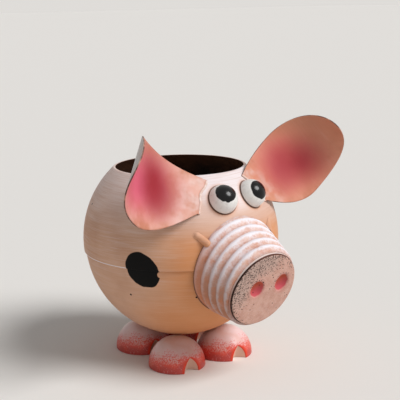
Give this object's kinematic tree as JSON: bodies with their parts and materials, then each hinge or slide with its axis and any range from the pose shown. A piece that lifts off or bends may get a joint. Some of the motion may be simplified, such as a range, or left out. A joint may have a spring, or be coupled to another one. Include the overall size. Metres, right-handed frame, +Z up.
{
  "type": "pig planter",
  "caption": "Free-standing pig-shaped planter of welded painted sheet metal: hollow ball body open at the top, ribbed snout, rolled ears and dome feet.",
  "frame": {"origin": "on the floor, under the middle of the overall box", "axes": "+Z up, the pig faces -Y, its left side is +X"},
  "size_m": [0.2708, 0.2692, 0.2452],
  "materials": {
    "skin": "matte peach paint with whitish dry-brushed streaks",
    "snout": "matte peach paint, ribs dry-brushed white",
    "snout_face": "matte pinkish beige paint with dark speckle",
    "ear": "satin peach paint, airbrushed pink at the middle",
    "eye": "satin white paint with gloss black pupils",
    "foot": "satin pale pink paint, stippled orange-red at the rim"
  },
  "bodies": {
    "root": {"body_upper": "skin", "body_lower": "skin", "snout_tube": "snout", "snout_disc": "snout_face", "ear_left": "ear", "ear_right": "ear", "eye_left": "eye", "eye_right": "eye", "smile_left": "skin", "smile_right": "skin", "foot_front_left": "foot", "foot_front_right": "foot", "foot_rear_left": "foot", "foot_rear_right": "foot", "tail": "skin"}
  },
  "joints": []
}
